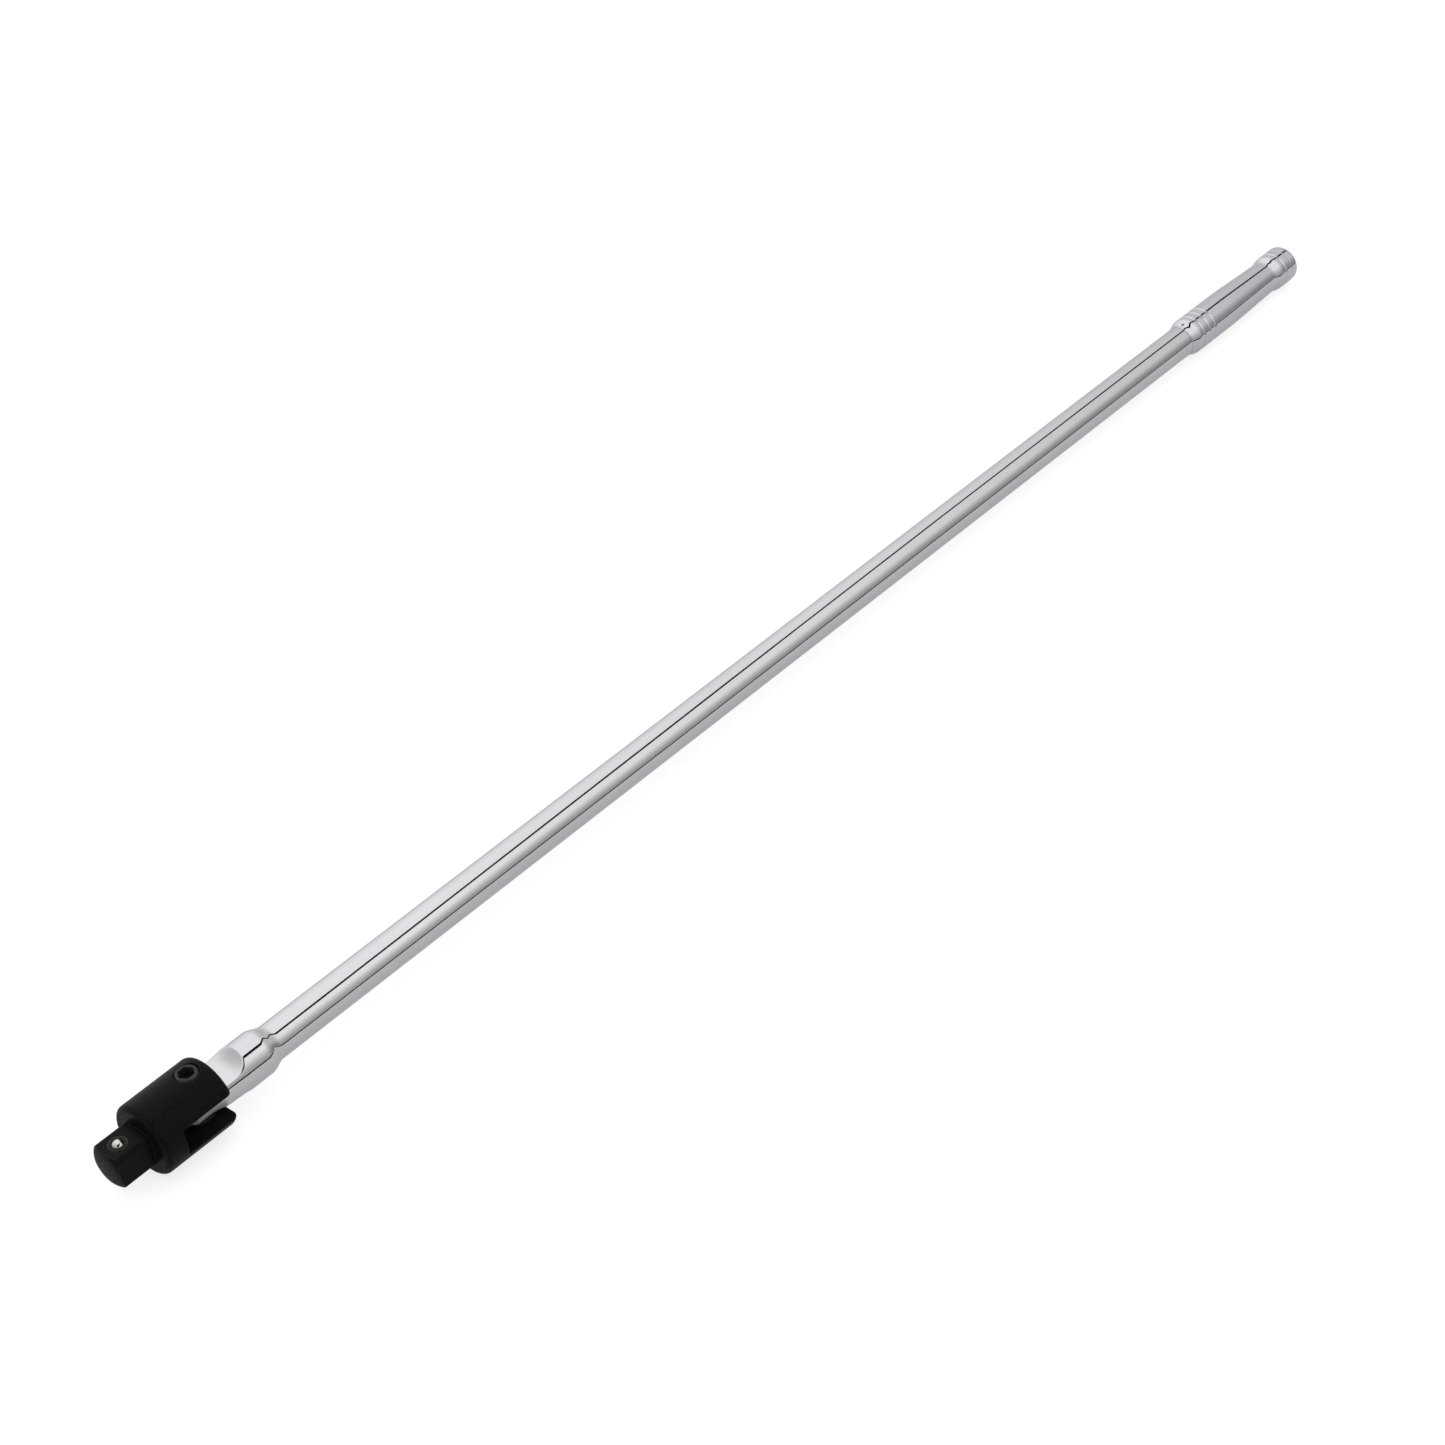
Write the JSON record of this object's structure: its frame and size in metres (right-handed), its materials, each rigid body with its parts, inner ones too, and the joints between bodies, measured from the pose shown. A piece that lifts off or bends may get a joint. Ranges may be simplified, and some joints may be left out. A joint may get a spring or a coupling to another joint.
{
  "type": "breaker bar",
  "caption": "Flex-head breaker bar: long round chromed bar with a black forked swivel head, square drive with sprung detent ball, and a turned tubular grip.",
  "frame": {"origin": "centre of the drive shoulder, the front face of the head around the square", "axes": "+X back along the bar towards the handle, -X out of the square drive, +Z along the pivot screw towards its hex socket"},
  "size_m": [1, 0.04, 0.04],
  "materials": {
    "black_phosphate": "fine matt black phosphate on forged steel",
    "polished_chrome": "polished chrome plate",
    "black_screw": "black oxide",
    "bright_steel": "bright hardened steel",
    "nylon": "natural nylon"
  },
  "bodies": {
    "bar": {"bar_shank": "polished_chrome", "handle_sleeve": "polished_chrome", "handle_pin": "bright_steel", "end_plug": "polished_chrome"},
    "head": {"drive_head": "black_phosphate", "pivot_screw": "black_screw", "thread_lock_pellet": "nylon", "friction_washer_upper": "black_screw", "friction_washer_lower": "black_screw", "detent_spring": "bright_steel"},
    "ball": {"detent_ball": "bright_steel"}
  },
  "joints": [
    {"name": "head_flex", "type": "hinge", "parent": "bar", "child": "head", "pos_m": [0.0337, 0, 0], "axis": [0, 0, 1], "range_deg": [-100, 100]},
    {"name": "detent_press", "type": "slide", "parent": "head", "child": "ball", "axis": [0, 0, -1], "range_m": [0, 0.0016], "stiffness_N_per_m": 2000, "springref_m": -0.002, "deforming": ["detent_spring"]}
  ]
}
